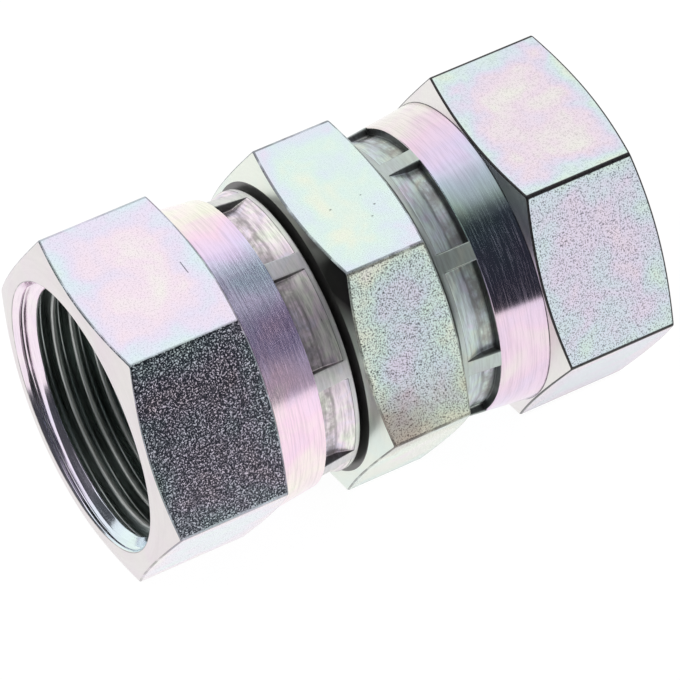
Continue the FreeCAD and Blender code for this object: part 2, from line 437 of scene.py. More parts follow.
def end_tree(tree, leave, geometry, chosen, finish):
    """Makes one real mesh, gives the chosen faces their finish, and hands it out."""
    real = node(tree, "GeometryNodeRealizeInstances", {"Geometry": geometry})
    finished = node(tree, "GeometryNodeSetMaterial", {
        "Geometry": real.outputs[0],
        "Selection": chosen,
        "Material": finish,
    })
    tree.links.new(finished.outputs[0], leave["Geometry"])


# The six flats of a hexagon bar, left on a turned shell: rows marked flat fall to the hexagon, and their
# chamfered ends slide with them. The corners between the flats are rounded.
GEOMETRY = "NodeSocketGeometry"
NUMBER = "NodeSocketFloat"
WHOLE = "NodeSocketInt"
FINISH = "NodeSocketMaterial"
hexagon_tree, entry, leave = start_tree("hexagon_flats", "GeometryNodeTree", {
    "Geometry": (GEOMETRY, None),
    "Flat Radius": (NUMBER, FLAT_RADIUS),
    "Corner Rounding": (NUMBER, HEX_CORNER_ROUNDING),
    "Chamfer Rise": (NUMBER, CHAMFER_RISE),
    "Finish": (FINISH, None),
}, {"Geometry": GEOMETRY})
tree = hexagon_tree
along, radius, angle, across, up = round_the_axis(tree)
flat_radius = Term(tree, entry["Flat Radius"])
rounding = Term(tree, entry["Corner Rounding"])
from_flat = (angle - HALF_FLAT).math("WRAP", HALF_FLAT, -HALF_FLAT).math("ABSOLUTE")
from_corner = (from_flat * -1) + HALF_FLAT
on_flat = flat_radius / from_flat.math("COSINE")
centre = (flat_radius - rounding) / math.cos(HALF_FLAT)
offset = centre * from_corner.math("SINE")
arc_rise = (rounding * rounding - offset * offset).math("MAXIMUM", 0).math("SQRT")
on_arc = centre * from_corner.math("COSINE") + arc_rise
arc_end = (rounding * 0.5).math("ARCTAN2", centre + rounding * math.cos(HALF_FLAT))
in_arc = from_corner.math("LESS_THAN", arc_end)
hexagon_radius = on_arc * in_arc + on_flat * in_arc.turned_round()
drop = flat_radius / math.cos(HALF_FLAT) - hexagon_radius
flat = named_value(tree, "flat")
slid = along + named_value(tree, "slide") * drop * entry["Chamfer Rise"]
growth = (radius - flat * drop) / radius
moved = set_radius(tree, entry["Geometry"], slid, across, up, growth)
flat_number = (angle * math.degrees(1)).math("FLOORED_MODULO", 360) / 60
numbered = node(tree, "GeometryNodeStoreNamedAttribute", {
    "Geometry": moved,
    "Name": "flat_number",
    "Value": flat_number.math("FLOOR"),
}, data_type="FLOAT", domain="FACE")
skin = named_value(tree, "skin")
edged = node(tree, "GeometryNodeStoreNamedAttribute", {
    "Geometry": numbered.outputs[0],
    "Name": "corner",
    "Value": (from_corner / (arc_end * CORNER_SPREAD)).ramp(1, 0.5) * skin,
}, data_type="FLOAT", domain="POINT")
end_tree(tree, leave, edged.outputs[0], skin.math("GREATER_THAN", 0.99).socket, entry["Finish"])


def shape_with(name, mesh, steps, place):
    """Sends a mesh in millimetres through trees with their named sizes, and puts the result in place."""
    blank = show(name + "_blank", mesh)
    for tree, sizes in steps:
        modifier = blank.modifiers.new(tree.name, "NODES")
        modifier.node_group = tree
        for socket in tree.interface.items_tree:
            if socket.in_out == "INPUT" and socket.name in sizes:
                modifier[socket.identifier] = sizes[socket.name]
    view_layer = bpy.context.evaluated_depsgraph_get()
    view_layer.update()
    result = bpy.data.meshes.new_from_object(blank.evaluated_get(view_layer), depsgraph=view_layer)
    bpy.data.objects.remove(blank)
    result.transform(place @ Matrix.Scale(MM, 4))
    result.shade_smooth()
    result.name = name
    return show(name, result)


# The finishes that the three pieces share: the rainbow film, the frame of each flat, the grain of drawn bar,
# the lines of turning, dark edges painted as shade, and fine scratches, specks and stains.
VECTOR = "NodeSocketVector"
COLOR = "NodeSocketColor"


def noise(tree, vector, scale, detail, roughness=0.5):
    """A random pattern on the surface, as a number about one half."""
    made = node(tree, "ShaderNodeTexNoise", {
        "Vector": vector,
        "Scale": scale,
        "Detail": detail,
        "Roughness": roughness,
    })
    return Term(tree, made.outputs["Fac"])


def painted(tree, name):
    """The value that a surface holds under a name."""
    return Term(tree, node(tree, "ShaderNodeAttribute", attribute_name=name).outputs["Fac"])


film_tree, entry, leave = start_tree("passivation_film", "ShaderNodeTree", {
    "Vector": (VECTOR, None),
    "Patch Size": (NUMBER, 0.008),
    "Seed": (NUMBER, 0.0),
    "Shift": (NUMBER, 0.0),
    "Spread": (NUMBER, 1.0),
    "Base": (COLOR, (0.8, 0.8, 0.8, 1)),
    "Depth": (NUMBER, 1.0),
}, {"Color": COLOR})
tree = film_tree
CREAM = (1.00, 0.975, 0.92, 1)
PINK = (1.00, 0.85, 0.95, 1)
LAVENDER = (0.91, 0.84, 1.00, 1)
PALE_BLUE = (0.82, 0.92, 1.00, 1)
MINT = (0.82, 0.99, 0.92, 1)
PALE_YELLOW = (0.94, 1.00, 0.85, 1)
patch_noise = node(tree, "ShaderNodeTexNoise", {
    "Vector": entry["Vector"],
    "W": entry["Seed"],
    "Scale": Term(tree, entry["Patch Size"]).math("POWER", -1),
    "Detail": 2.5,
    "Roughness": 0.55,
    "Distortion": 0.6,
}, noise_dimensions="4D")
thickness = (Term(tree, patch_noise.outputs["Fac"]) - 0.5) * entry["Spread"] + entry["Shift"]
film = node(tree, "ShaderNodeValToRGB", {"Fac": thickness.math("FRACT")})
film.color_ramp.elements[0].color = CREAM
film.color_ramp.elements[1].color = CREAM
for number, tint in enumerate((PINK, LAVENDER, PALE_BLUE, MINT, PALE_YELLOW), start=1):
    film.color_ramp.elements.new(number / 6).color = tint
deepened = node(tree, "ShaderNodeGamma", {0: film.outputs["Color"], 1: entry["Depth"]})
tinted = node(tree, "ShaderNodeMix", {
    "Factor": 1.0,
    6: entry["Base"],
    7: deepened.outputs[0],
}, data_type="RGBA", blend_type="MULTIPLY")
tree.links.new(tinted.outputs[2], leave["Color"])

inset_tree, entry, leave = start_tree("flat_inset", "ShaderNodeTree", {
    "Vector": (VECTOR, None),
    "Axis Height": (NUMBER, axis_height),
    "Flat Radius": (NUMBER, FLAT_RADIUS * MM),
    "Middle": (NUMBER, 0.0),
    "Half Length": (NUMBER, 0.008),
    "Reach": (NUMBER, 0.004),
}, {"Inset": NUMBER})
tree = inset_tree
along, across, up = three_parts(tree, entry["Vector"])
flat_radius = Term(tree, entry["Flat Radius"])
angle = (up - entry["Axis Height"]).math("ARCTAN2", across)
from_flat = (angle - HALF_FLAT).math("WRAP", HALF_FLAT, -HALF_FLAT).math("ABSOLUTE")
to_side = flat_radius * math.tan(HALF_FLAT) - from_flat.math("TANGENT") * flat_radius
to_end = Term(tree, entry["Half Length"]) - (along - entry["Middle"]).math("ABSOLUTE")
raggedness = (noise(tree, entry["Vector"], 260.0, 2.0) - 0.5) * 1.6
inset = to_side.math("MINIMUM", to_end) / entry["Reach"] + raggedness
tree.links.new(inset.between(0, 1).socket, leave["Inset"])

grain_tree, entry, leave = start_tree("drawn_grain", "ShaderNodeTree", {
    "Vector": (VECTOR, None),
    "Grain Size": (NUMBER, 0.0002),
    "Frost From": (NUMBER, 0.5),
}, {"Height": NUMBER, "Frost": NUMBER})
tree = grain_tree
height = noise(tree, entry["Vector"], Term(tree, entry["Grain Size"]).math("POWER", -1), 1.0, 0.6)
tree.links.new(height.socket, leave["Height"])
frosted = (height - entry["Frost From"]).ramp(-0.07, 0.1)
tree.links.new(frosted.socket, leave["Frost"])

line_tree, entry, leave = start_tree("turned_lines", "ShaderNodeTree", {
    "Vector": (VECTOR, None),
    "Line Width": (NUMBER, 0.0001),
    "Line Length": (NUMBER, 0.006),
}, {"Height": NUMBER})
tree = line_tree
width = Term(tree, entry["Line Width"])
length = Term(tree, entry["Line Length"])
along, across, up = three_parts(tree, entry["Vector"])
squeezed = node(tree, "ShaderNodeCombineXYZ", {0: along / width, 1: across / length, 2: up / length})
tree.links.new(noise(tree, squeezed.outputs[0], 1.0, 3.0, 0.65).socket, leave["Height"])

# Dark lines along the rounded edges and the hexagon's corners, broken up by noise: painted shade.
edge_shade_tree, entry, leave = start_tree("painted_edge_shade", "ShaderNodeTree", {
    "Vector": (VECTOR, None),
    "Break Size": (NUMBER, 0.002),
    "Arc Reach": (NUMBER, 0.5),
    "Corner Reach": (NUMBER, 0.5),
}, {"Mask": NUMBER})
tree = edge_shade_tree
broken = noise(tree, entry["Vector"], Term(tree, entry["Break Size"]).math("POWER", -1), 3.0).ramp(0.25, 0.5)
masks = []
for name, reach in (("edge", Term(tree, entry["Arc Reach"])), ("corner", Term(tree, entry["Corner Reach"]))):
    masks.append(painted(tree, name).ramp(0.1, 0.6) * reach * broken.math("MAXIMUM", reach * reach))
tree.links.new(masks[0].math("MAXIMUM", masks[1]).socket, leave["Mask"])


def vector_math(tree, operation, first, second):
    """Two places or ways worked out together."""
    return node(tree, "ShaderNodeVectorMath", {0: first, 1: second}, operation=operation).outputs


scratch_tree, entry, leave = start_tree("fine_scratch", "ShaderNodeTree", {
    "Vector": (VECTOR, None),
    "Start": (VECTOR, None),
    "End": (VECTOR, None),
    "Width": (NUMBER, 0.0001),
    "Raggedness": (NUMBER, 0.6),
}, {"Mask": NUMBER})
tree = scratch_tree
way = vector_math(tree, "SUBTRACT", entry["End"], entry["Start"])[0]
offset = vector_math(tree, "SUBTRACT", entry["Vector"], entry["Start"])[0]
reached = Term(tree, vector_math(tree, "DOT_PRODUCT", offset, way)["Value"])
whole = Term(tree, vector_math(tree, "DOT_PRODUCT", way, way)["Value"])
share = (reached / whole).between(0, 1)
nearest = node(tree, "ShaderNodeVectorMath", {0: way, "Scale": share}, operation="SCALE").outputs[0]
gap = Term(tree, vector_math(tree, "DISTANCE", offset, nearest)["Value"])
raggedness = (noise(tree, entry["Vector"], 700.0, 3.0) - 0.5) * entry["Raggedness"]
tree.links.new((gap / entry["Width"] + raggedness).ramp(1, 0.4).socket, leave["Mask"])


def use_group(tree, group, inputs):
    """One of the shared finishes, with this material's own values."""
    return node(tree, "ShaderNodeGroup", inputs, node_tree=group).outputs


def mix_colors(tree, factor, first, second):
    """Two colours mixed by a mask."""
    return node(tree, "ShaderNodeMix", {"Factor": factor, 6: first, 7: second}, data_type="RGBA").outputs[2]


def end_material(tree, color, roughness, normal, frost):
    """Plated steel: bare metal, as far as it isn't frosted over."""
    steel = node(tree, "ShaderNodeBsdfPrincipled", {
        "Base Color": color,
        "Metallic": frost * -1 + 1,
        "Roughness": roughness,
        "Normal": normal,
    })
    node(tree, "ShaderNodeOutputMaterial", {"Surface": steel.outputs[0]})


FILM_PATCH = 0.006
EDGE_BREAK = 0.0025
FROST_COVER = 0.92
GRAIN_DEPTH = 0.00005
LINE_DEPTH = 0.00003
SPECK = (0.02, 0.02, 0.03, 1)
# Dark colours painted along edges and along the marks' walls: painted shade.
PAINTED_EDGE_SHADE = (0.02, 0.018, 0.02, 1)
EDGE_AND_WALL_SHADE = (0.03, 0.03, 0.03, 1)
STREAK = (0.1, 0.09, 0.12, 1)
# Painted shade on the middle hexagon's left face beside the left nut's gap: its colour and where it lies.
GAP_SHADE_COLOR = (0.02, 0.022, 0.02, 1)
GAP_SHADE_ACROSS = (0.002, -0.008)
GAP_SHADE_HEIGHT = (0.0315, 0.0345)
GAP_SHADE_ALONG = (-0.001, -0.003)


def drawn_flats(
    name, middle, half_length, seed, spread, films, grain_size, frost_from, roughness, bump, arc_reach,
    corner_reach, marks=(),
):
    """The skin of drawn hexagon bar under its film.

    Films gives for each flat the film's place in its row of colours at the flat's border, how far it moves on
    towards the middle, the flat's lightness, and how dark its specks are. Each mark on the skin has its two
    ends, its width, its strength and its colour.
    """
    material, tree = start_material(name)
    place = node(tree, "ShaderNodeTexCoord").outputs["Object"]
    ramp = node(tree, "ShaderNodeValToRGB", {"Fac": (painted(tree, "flat_number") + 0.5) / 6})
    ramp.color_ramp.interpolation = "CONSTANT"
    ramp.color_ramp.elements.remove(ramp.color_ramp.elements[1])
    for number, (border, move, lightness, speck) in enumerate(films):
        stop = ramp.color_ramp.elements.new(number / 6) if number else ramp.color_ramp.elements[0]
        stop.color = (border, move / 2 + 0.5, lightness, speck)
    parts = node(tree, "ShaderNodeSeparateColor", {0: ramp.outputs["Color"]}).outputs
    border, move, lightness = (Term(tree, part) for part in parts)
    speck = Term(tree, ramp.outputs["Alpha"])
    inset = Term(tree, use_group(tree, inset_tree, {
        "Vector": place, "Axis Height": axis_height, "Middle": middle, "Half Length": half_length,
    })["Inset"])
    base = node(tree, "ShaderNodeCombineColor", {0: lightness, 1: lightness, 2: lightness})
    film = use_group(tree, film_tree, {
        "Vector": place, "Patch Size": FILM_PATCH, "Seed": seed, "Shift": border + (move * 2 - 1) * inset,
        "Spread": spread, "Base": base.outputs[0],
    })
    grain = use_group(tree, grain_tree, {"Vector": place, "Grain Size": grain_size, "Frost From": frost_from})
    frost = Term(tree, grain["Frost"]) * FROST_COVER
    hollow = Term(tree, grain["Height"]).ramp(0.52, 0.32)
    speckled = mix_colors(tree, hollow * speck, film["Color"], SPECK)
    for start, end, width, strength, tint in marks:
        mark = use_group(tree, scratch_tree, {"Vector": place, "Start": start, "End": end, "Width": width})
        speckled = mix_colors(tree, Term(tree, mark["Mask"]) * strength, speckled, tint)
    # The flats' dark edge lines are painted shade.
    lines = use_group(tree, edge_shade_tree, {
        "Vector": place, "Break Size": EDGE_BREAK, "Arc Reach": arc_reach, "Corner Reach": corner_reach,
    })
    color = mix_colors(tree, lines["Mask"], speckled, PAINTED_EDGE_SHADE)
    relief = grain["Height"]
    bumped = node(tree, "ShaderNodeBump", {"Strength": bump, "Distance": GRAIN_DEPTH, "Height": relief})
    end_material(tree, color, roughness, bumped.outputs[0], frost)
    return material


def turned_steel(name, base, seed, bands, film_depth, roughness, streaks, frost, arc_reach, gap_shade=0.0):
    """Turned steel: fine lines run round the piece under the film.

    Bands gives the place across where the film is furthest in its row of colours, its place in the row there,
    and how fast it falls behind and in front of that. Gap shade is how dark the painted shade is beside the
    left gap.
    """
    material, tree = start_material(name)
    place = node(tree, "ShaderNodeTexCoord").outputs["Object"]
    along, across, height = three_parts(tree, place)
    crown, top, fall_behind, fall_before = bands
    behind = across - crown
    fall = (behind * fall_behind).math("MAXIMUM", behind * -fall_before)
    shift = (fall * -1 + top).math("MAXIMUM", 0)
    film = use_group(tree, film_tree, {
        "Vector": place, "Patch Size": FILM_PATCH, "Seed": seed, "Shift": shift, "Spread": 0.5,
        "Base": (*base, 1), "Depth": film_depth,
    })
    lines = use_group(tree, line_tree, {"Vector": place, "Line Width": 0.00018, "Line Length": 0.005})
    line = Term(tree, lines["Height"])
    streaked = mix_colors(tree, line.ramp(0.6, 0.35) * (streaks * 0.6), film["Color"], STREAK)
    # The dark edge lines are painted shade.
    edge_shade = use_group(tree, edge_shade_tree, {
        "Vector": place, "Break Size": EDGE_BREAK, "Arc Reach": arc_reach, "Corner Reach": 0.0,
    })
    color = mix_colors(tree, edge_shade["Mask"], streaked, EDGE_AND_WALL_SHADE)
    # Painted shade beside the left nut's gap.
    if gap_shade:
        painted_gap_shade = across.ramp(*GAP_SHADE_ACROSS) * height.ramp(*GAP_SHADE_HEIGHT) * along.ramp(*GAP_SHADE_ALONG)
        color = mix_colors(tree, painted_gap_shade * gap_shade, color, GAP_SHADE_COLOR)
    bumped = node(tree, "ShaderNodeBump", {"Strength": streaks, "Distance": LINE_DEPTH, "Height": line})
    frosted = line.ramp(0.5, 0.75) * (streaks * 0.5) + frost
    end_material(tree, color, line * 0.1 + (roughness - 0.05), bumped.outputs[0], frosted)
    return material


# The flats in turn: back upper, top, front upper, front lower, bottom and back lower.
NIPPLE_FILMS = [
    (0.45, 0.3, 0.9, 0.3),
    (0.47, 0.22, 1.0, 0.12),
    (0.84, -0.3, 0.94, 0.6),
    (0.7, 0.2, 1.0, 0.1),
    (0.4, 0.3, 0.9, 0.3),
    (0.2, 0.3, 0.9, 0.3),
]
NIPPLE_SPECKS = [(3.18, -3.15, 0.15), (2.05, -4.64, 0.13), (-1.63, -1.46, 0.12), (2.49, -1.15, 0.1)]
SPECK_LENGTH = 0.1
MARK_STRENGTH = 0.75
BROWN_STAIN = (0.34, 0.19, 0.2, 1)
OLIVE_STAIN = (0.5, 0.45, 0.25, 1)
nipple_low, nipple_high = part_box("nipple_body")
nipple_middle = (nipple_low.x + nipple_high.x) / 2
front_corner = -CORNER_RADIUS * MM
stain_start = ((0.2 - NIPPLE_HEX_REACH) * MM, front_corner, axis_height + 0.4 * MM)
stain_end = ((1.5 - NIPPLE_HEX_REACH) * MM, front_corner, axis_height + 1.2 * MM)
olive_end = ((NIPPLE_HEX_REACH - 1) * MM, front_corner, axis_height + 0.4 * MM)
nipple_marks = [
    (stain_start, olive_end, 7.5 * MM, 0.3, OLIVE_STAIN),
    (stain_start, stain_end, 6.5 * MM, 0.5, BROWN_STAIN),
]
for x, y, width in NIPPLE_SPECKS:
    start = (x * MM, y * MM, nipple_high.z)
    end = ((x + SPECK_LENGTH) * MM, y * MM, nipple_high.z)
    nipple_marks.append((start, end, width * MM, MARK_STRENGTH, SPECK))
nipple_flats = drawn_flats(
    "nipple_flats", nipple_middle, NIPPLE_HEX_REACH * MM, seed=3.1, spread=0.9, films=NIPPLE_FILMS,
    grain_size=0.00016, frost_from=0.38, roughness=0.2, bump=0.35, arc_reach=0.7, corner_reach=0.7,
    marks=nipple_marks,
)
PLAIN = (0.02, 0.05, 0, 0)
nipple_turned = turned_steel(
    "nipple_turned", base=(0.9, 0.91, 0.9), seed=1.7, bands=(0.02, 0.7, 0, 0), film_depth=1.0,
    roughness=0.25, streaks=0.2, frost=0, arc_reach=0.5,
)
nipple_faced = turned_steel(
    "nipple_faced", base=(0.88, 0.9, 0.88), seed=1.9, bands=(0.02, 0.8, 0, 0), film_depth=0.5,
    roughness=0.3, streaks=0.1, frost=0, arc_reach=0.5, gap_shade=0.95,
)
# The neck, the hexagon's faces behind the nut rims, the bore, and the nuts' rims and chambers are dark steel:
# partly a dull inner tone, and partly painted shade for the gaps and the bore.
shaded_inner_steel = turned_steel(
    "shaded_inner_steel", base=(0.16, 0.17, 0.165), seed=2.9, bands=PLAIN, film_depth=1.0,
    roughness=0.35, streaks=0.3, frost=0.2, arc_reach=0.3,
)

half_outline = [
    (Row(NOSE_FRONT, BORE_RADIUS), 0.15),
    (Row(NOSE_FRONT, NOSE_TIP_RADIUS), 0.15),
    (Row(HEAD_FRONT, NOSE_ROOT_RADIUS), 0.15),
    (Row(HEAD_FRONT, HEAD_RADIUS), 0.2),
    (Row(SHOULDER_TOP, HEAD_RADIUS), 0.2),
    (Row(SHOULDER_FOOT, NECK_RADIUS, INNER), 0.3),
    (Row(NIPPLE_HEX_REACH, NECK_RADIUS, INNER), 0.4),
    (Row(NIPPLE_HEX_REACH, CHAMFER_RADIUS, FACED), 0.3),
    hexagon_edge(NIPPLE_HEX_REACH, -1),
]
other_half = []
after = [corner[0].finish for corner in half_outline]
for (row, rounding), finish in zip(reversed(half_outline), [*reversed(after[:-1]), INNER]):
    mirrored = Row(-row.along, row.radius, finish, row.flat, -row.slide, edge=row.edge)
    other_half.append((mirrored, rounding))
nipple_place = Matrix.Translation((nipple_middle, 0, axis_height))
nipple_rows = rounded_outline(half_outline + other_half)
nipple_mesh = turned_shell("nipple", nipple_rows, column_angles(), [nipple_turned, nipple_faced, shaded_inner_steel])
hexagon_sizes = {
    "Flat Radius": FLAT_RADIUS,
    "Corner Rounding": HEX_CORNER_ROUNDING,
    "Chamfer Rise": CHAMFER_RISE,
}
nipple_steps = [(hexagon_tree, {**hexagon_sizes, "Finish": nipple_flats})]
nipple = shape_with("nipple", nipple_mesh, nipple_steps, nipple_place)
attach(nipple, "nipple")
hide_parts("nipple_body")

# The union nuts: turned from the same zinc plated steel bar, with a pipe thread inside and a skirt that is
# pressed in behind the nipple's head by eight crimp marks. Both are alike, and the right one is turned round.
# Sizes are in millimetres from the open face.
NUT_HEX_LENGTH = 16.35
NUT_LENGTH = 27.0
COLLAR_RADIUS = 18.75
COLLAR_START = 15.75
RIM_RADIUS = 17.5
COLLAR_FALL = (COLLAR_RADIUS - RIM_RADIUS) / (NUT_LENGTH - COLLAR_START)
MARK_START = 22.2
MARK_LEVEL = 1.9
RIM_DEPTH = 26.3
MARK_FLOOR = 16.883
MARK_RUNOUT = 0.05
MARK_COUNT = 8
MARK_ANGLE = 37.5
MARK_SIDE = 0.5
MARK_UNEVENNESS = 0.05
LEVEL_CHANCE = 0.25
STEP_RUN = 0.1
HAIR = 0.001
CREASE_PLACE = 0.47
LIP_RADIUS = 14.45
CHAMBER_RADIUS = 15.6
LIP_ROOT = (MARK_FLOOR + CHAMBER_RADIUS) / 2
MOUTH_RADIUS = 16.8
MOUTH_DEPTH = 2.362
THREAD_RADIUS = 15.146
THREAD_END = 12.0
THREAD_PITCH = 2.309
THREAD_DEPTH = 1.479
THREAD_ROUNDING = 0.22
THREAD_ANGLE = 55
ROWS_PER_PITCH = 20


def collar_radius(depth):
    """The collar's radius at a depth behind the open face: one long cone from the hexagon to the rim."""
    return COLLAR_RADIUS - (depth - COLLAR_START) * COLLAR_FALL


# A right-handed pipe thread, cut as a spiral groove of 55 degrees with rounded crests and roots.
thread_tree, entry, leave = start_tree("pipe_thread", "GeometryNodeTree", {
    "Geometry": (GEOMETRY, None),
    "Crest Radius": (NUMBER, THREAD_RADIUS),
    "Pitch": (NUMBER, THREAD_PITCH),
    "Depth": (NUMBER, THREAD_DEPTH),
    "Rounding": (NUMBER, THREAD_ROUNDING),
    "Mouth Depth": (NUMBER, MOUTH_DEPTH),
    "End": (NUMBER, THREAD_END),
    "Finish": (FINISH, None),
}, {"Geometry": GEOMETRY})
tree = thread_tree
along, radius, angle, across, up = round_the_axis(tree)
pitch = Term(tree, entry["Pitch"])
depth = Term(tree, entry["Depth"])
turns = (along / pitch - angle / (2 * math.pi)).math("FRACT")
sharp_height = pitch * (0.5 / math.tan(math.radians(THREAD_ANGLE / 2)))
wave = (turns * 2 - 1).math("ABSOLUTE").turned_round() * sharp_height
cut = (wave - sharp_height / 6).math("SMOOTH_MAX", 0, entry["Rounding"])
cut = cut.math("SMOOTH_MIN", depth, entry["Rounding"])
fade = ((along * -1 + entry["End"]) / pitch).between(0, 1)
thread_radius = cut * fade + entry["Crest Radius"]
new_radius = radius.math("MAXIMUM", thread_radius)
bore = named_value(tree, "bore")
growth = (radius + (new_radius - radius) * bore) / radius
marked = node(tree, "GeometryNodeStoreNamedAttribute", {
    "Geometry": entry["Geometry"],
    "Name": "crest",
    "Value": (cut * fade / depth).turned_round(),
}, data_type="FLOAT", domain="POINT")
moved = set_radius(tree, marked.outputs[0], along, across, up, growth)
deep = along.math("GREATER_THAN", entry["Mouth Depth"])
end_tree(tree, leave, moved, (bore.math("GREATER_THAN", 0.99) * deep).socket, entry["Finish"])

# The crimp: a ring of pressed pockets on the skirt, each with a lip inside it that stands behind the head.
crimp_tree, entry, leave = start_tree("crimp_ring", "GeometryNodeTree", {
    "Geometry": (GEOMETRY, None),
    "Mark Count": (NUMBER, float(MARK_COUNT)),
    "Mark Angle": (NUMBER, MARK_ANGLE),
    "Side Angle": (NUMBER, MARK_SIDE),
    "First Mark": (NUMBER, 0.0),
    "Mark Start": (NUMBER, MARK_START),
    "Level Length": (NUMBER, MARK_LEVEL),
    "Rim Depth": (NUMBER, RIM_DEPTH),
    "Floor Radius": (NUMBER, MARK_FLOOR),
    "Rim Floor": (NUMBER, collar_radius(RIM_DEPTH) - MARK_RUNOUT),
    "Wall Middle": (NUMBER, LIP_ROOT),
    "Lip Radius": (NUMBER, LIP_RADIUS),
    "Lip Slope": (NUMBER, (LIP_ROOT - LIP_RADIUS) / MARK_LEVEL),
    "Unevenness": (NUMBER, MARK_UNEVENNESS),
    "Seed": (WHOLE, 1),
    "Finish": (FINISH, None),
}, {"Geometry": GEOMETRY})
tree = crimp_tree
along, radius, angle, across, up = round_the_axis(tree)
spacing = Term(tree, entry["Mark Count"]).math("POWER", -1) * 360
turned = angle * math.degrees(1) - entry["First Mark"]
from_mark = turned.math("WRAP", spacing / 2, spacing / -2).math("ABSOLUTE")
mark_number = (turned / spacing).math("ROUND").math("FLOORED_MODULO", entry["Mark Count"])
inside = Term(tree, entry["Mark Angle"]) / 2 - from_mark
side = (inside / entry["Side Angle"] + 0.5).between(0, 1)
chance = node(tree, "FunctionNodeRandomValue", {
    2: -1.0,
    3: 1.0,
    "ID": mark_number,
    "Seed": entry["Seed"],
}, data_type="FLOAT")
luck = Term(tree, chance.outputs[1])
dent_noise = node(tree, "ShaderNodeTexNoise", {"Scale": 0.55, "Detail": 3.0})
dents = (Term(tree, dent_noise.outputs["Fac"]) - 0.5) * entry["Unevenness"] * 4
start = Term(tree, entry["Mark Start"])
rim = Term(tree, entry["Rim Depth"])
step = (along - start).ramp(0, STEP_RUN)
level_end = start + entry["Level Length"] + luck * LEVEL_CHANCE
slope = ((along - level_end) / (rim - level_end)).between(0, 1)
floor_radius = Term(tree, entry["Floor Radius"]) + luck * entry["Unevenness"] + dents
rim_floor = Term(tree, entry["Rim Floor"])
pocket = floor_radius + (rim_floor - floor_radius) * slope
before_rim = (along - rim).math("LESS_THAN", HAIR)
outer = radius.math("GREATER_THAN", entry["Wall Middle"])
pressed = side * step * before_rim * outer
fall = (radius - pocket).math("MAXIMUM", 0) * pressed
behind_step = (along - start).math("GREATER_THAN", -HAIR)
lip = (along - start) * entry["Lip Slope"] + entry["Lip Radius"]
lip_fall = (radius - lip).math("MAXIMUM", 0) * side * outer.turned_round() * behind_step
growth = (radius - fall - lip_fall) / radius
moved = set_radius(tree, entry["Geometry"], along, across, up, growth)
ring = outer * (along - start).math("GREATER_THAN", 0.02)
marked = node(tree, "GeometryNodeStoreNamedAttribute", {
    "Geometry": moved,
    "Name": "mark_depth",
    "Value": (along - start) / (rim - start),
}, data_type="FLOAT", domain="POINT")
sided = node(tree, "GeometryNodeStoreNamedAttribute", {
    "Geometry": marked.outputs[0],
    "Name": "land",
    "Value": (side * before_rim).turned_round(),
}, data_type="FLOAT", domain="POINT")
end_tree(tree, leave, sided.outputs[0], ring.math("GREATER_THAN", 0.6).socket, entry["Finish"])


def even_rows(first, last, spacing, **marks):
    """Rows at an even spacing on the straight line between two places, both left out."""
    count = max(1, round(math.dist(first, last) / spacing))
    rows = []
    for i in range(1, count):
        along = first[0] + (last[0] - first[0]) * i / count
        radius = first[1] + (last[1] - first[1]) * i / count
        rows.append((Row(along, radius, **marks), 0))
    return rows


STEP_BEFORE = 0.08
STEP_AFTER = 0.32
RIM_LIP = 0.06
LIP_BEFORE = 0.05
COLLAR_SPACING = 0.5
STEP_SPACING = 0.033
MARK_SPACING = 0.2
LIP_SPACING = 0.3
CHAMBER_SPACING = 1.0


